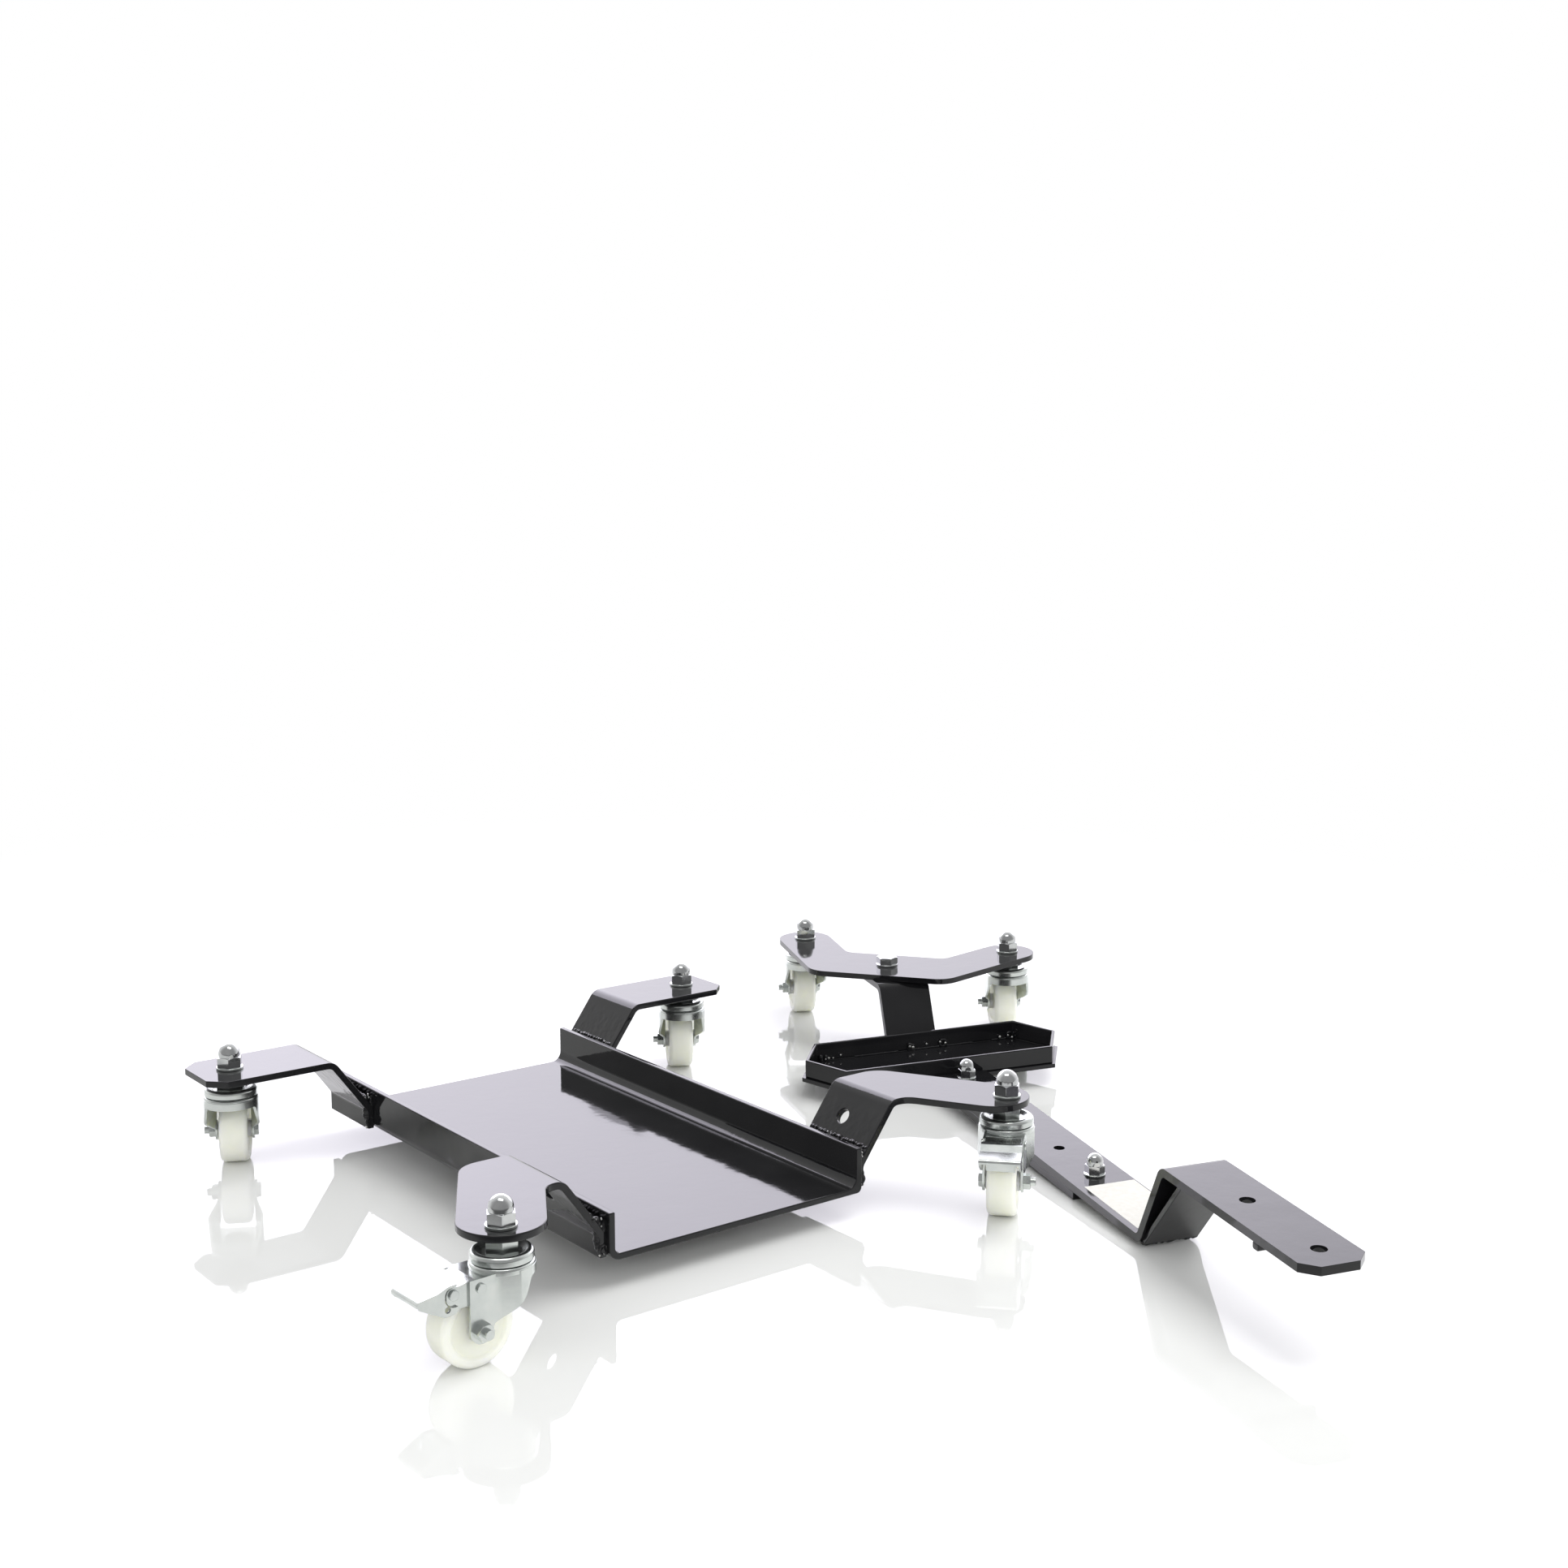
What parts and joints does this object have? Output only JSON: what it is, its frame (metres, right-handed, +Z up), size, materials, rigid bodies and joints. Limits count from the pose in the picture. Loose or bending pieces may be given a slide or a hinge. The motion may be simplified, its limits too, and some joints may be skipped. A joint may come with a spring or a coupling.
{
  "type": "motorcycle mover dolly",
  "caption": "Low wheel tray on braked swivel castors for one motorcycle wheel, with a separate castored bar that has a small stand tray and a raised hook.",
  "frame": {"origin": "middle of the wheel tray's floor, on its upper face", "axes": "+X along the wheel channel toward the braked castors, +Y toward the stand arm, +Z up"},
  "size_m": [0.8553, 0.8329, 0.0995],
  "materials": {
    "black_paint": "gloss black paint",
    "zinc_plate": "bright zinc plate",
    "nut_plate": "polished plate",
    "ball_steel": "polished steel",
    "nylon": "ivory nylon, satin"
  },
  "bodies": {
    "tray_frame": {"wheel_tray": "black_paint", "front_left_arm": "black_paint", "front_right_arm": "black_paint", "rear_left_arm": "black_paint", "rear_right_arm": "black_paint", "tray_castor_stems": "zinc_plate", "tray_castor_caps": "zinc_plate", "tray_castor_balls": "ball_steel", "tray_dome_nuts": "nut_plate", "tray_washers": "zinc_plate"},
    "stand_arm": {"lower_bar": "black_paint", "upper_bar": "black_paint", "hook_brace": "black_paint", "stop_bar": "black_paint", "stand_tray_base": "black_paint", "stand_tray_wall": "black_paint", "bar_bolts": "zinc_plate", "bar_dome_nuts": "nut_plate", "bar_washers": "zinc_plate", "pivot_bolt": "zinc_plate", "pivot_washer": "zinc_plate", "pivot_nut": "zinc_plate"},
    "castor_plate": {"boomerang_plate": "black_paint", "stand_castor_stems": "zinc_plate", "stand_castor_caps": "zinc_plate", "stand_castor_balls": "ball_steel", "stand_dome_nuts": "nut_plate", "stand_washers": "zinc_plate"},
    "front_left_swivel": {"front_left_fork": "zinc_plate", "front_left_axle": "zinc_plate", "front_left_bush": "zinc_plate", "front_left_brake_bracket": "zinc_plate", "front_left_brake_rivets": "zinc_plate"},
    "front_left_roller": {"front_left_wheel": "nylon"},
    "front_left_pedal": {"front_left_brake_pedal": "zinc_plate"},
    "front_right_swivel": {"front_right_fork": "zinc_plate", "front_right_axle": "zinc_plate", "front_right_bush": "zinc_plate", "front_right_brake_bracket": "zinc_plate", "front_right_brake_rivets": "zinc_plate"},
    "front_right_roller": {"front_right_wheel": "nylon"},
    "front_right_pedal": {"front_right_brake_pedal": "zinc_plate"},
    "rear_left_swivel": {"rear_left_fork": "zinc_plate", "rear_left_axle": "zinc_plate", "rear_left_bush": "zinc_plate"},
    "rear_left_roller": {"rear_left_wheel": "nylon"},
    "rear_right_swivel": {"rear_right_fork": "zinc_plate", "rear_right_axle": "zinc_plate", "rear_right_bush": "zinc_plate"},
    "rear_right_roller": {"rear_right_wheel": "nylon"},
    "stand_near_swivel": {"stand_near_fork": "zinc_plate", "stand_near_axle": "zinc_plate", "stand_near_bush": "zinc_plate"},
    "stand_near_roller": {"stand_near_wheel": "nylon"},
    "stand_far_swivel": {"stand_far_fork": "zinc_plate", "stand_far_axle": "zinc_plate", "stand_far_bush": "zinc_plate"},
    "stand_far_roller": {"stand_far_wheel": "nylon"}
  },
  "joints": [
    {"name": "stand_roll", "type": "slide", "parent": "tray_frame", "child": "stand_arm", "axis": [0, 1, 0], "range_m": [0, 0.25]},
    {"name": "plate_turn", "type": "hinge", "parent": "stand_arm", "child": "castor_plate", "pos_m": [-0.12397, 0.40635, 0.04787], "axis": [0.0219, -0.0303, 0.9993], "range_deg": [-10, 80]},
    {"name": "front_left_swivel_turn", "type": "hinge", "parent": "tray_frame", "child": "front_left_swivel", "pos_m": [0.24, -0.208, 0.0345], "axis": [0, 0, 1], "continuous": true},
    {"name": "front_left_wheel_spin", "type": "hinge", "parent": "front_left_swivel", "child": "front_left_roller", "pos_m": [0.24123, -0.23147, 0.002], "axis": [0.9986, 0.0523, 0], "continuous": true},
    {"name": "front_left_pedal_press", "type": "hinge", "parent": "front_left_swivel", "child": "front_left_pedal", "pos_m": [0.24218, -0.24954, 0.0284], "axis": [0.9986, 0.0523, 0], "range_deg": [0, 10]},
    {"name": "front_right_swivel_turn", "type": "hinge", "parent": "tray_frame", "child": "front_right_swivel", "pos_m": [0.24, 0.208, 0.0345], "axis": [0, 0, 1], "continuous": true},
    {"name": "front_right_wheel_spin", "type": "hinge", "parent": "front_right_swivel", "child": "front_right_roller", "pos_m": [0.25572, 0.19054, 0.002], "axis": [0.7431, 0.6691, 0], "continuous": true},
    {"name": "front_right_pedal_press", "type": "hinge", "parent": "front_right_swivel", "child": "front_right_pedal", "pos_m": [0.26784, 0.17708, 0.0284], "axis": [0.7431, 0.6691, 0], "range_deg": [0, 10]},
    {"name": "rear_left_swivel_turn", "type": "hinge", "parent": "tray_frame", "child": "rear_left_swivel", "pos_m": [-0.1685, -0.207, 0.0345], "axis": [0, 0, 1], "continuous": true},
    {"name": "rear_left_wheel_spin", "type": "hinge", "parent": "rear_left_swivel", "child": "rear_left_roller", "pos_m": [-0.18925, -0.19597, 0.002], "axis": [-0.4695, -0.8829, 0], "continuous": true},
    {"name": "rear_right_swivel_turn", "type": "hinge", "parent": "tray_frame", "child": "rear_right_swivel", "pos_m": [-0.1685, 0.207, 0.0345], "axis": [0, 0, 1], "continuous": true},
    {"name": "rear_right_wheel_spin", "type": "hinge", "parent": "rear_right_swivel", "child": "rear_right_roller", "pos_m": [-0.18905, 0.21839, 0.002], "axis": [-0.4848, -0.8746, 0], "continuous": true},
    {"name": "stand_near_swivel_turn", "type": "hinge", "parent": "castor_plate", "child": "stand_near_swivel", "pos_m": [-0.24632, 0.40738, 0.03367], "axis": [0.0219, -0.0303, 0.9993], "continuous": true},
    {"name": "stand_near_wheel_spin", "type": "hinge", "parent": "stand_near_swivel", "child": "stand_near_roller", "pos_m": [-0.26758, 0.41975, 0.00199], "axis": [-0.485, -0.8744, -0.0159], "continuous": true},
    {"name": "stand_far_swivel_turn", "type": "hinge", "parent": "castor_plate", "child": "stand_far_swivel", "pos_m": [-0.08674, 0.5229, 0.03367], "axis": [0.0219, -0.0303, 0.9993], "continuous": true},
    {"name": "stand_far_wheel_spin", "type": "hinge", "parent": "stand_far_swivel", "child": "stand_far_roller", "pos_m": [-0.10737, 0.53632, 0.00201], "axis": [-0.5301, -0.8478, -0.0141], "continuous": true}
  ]
}
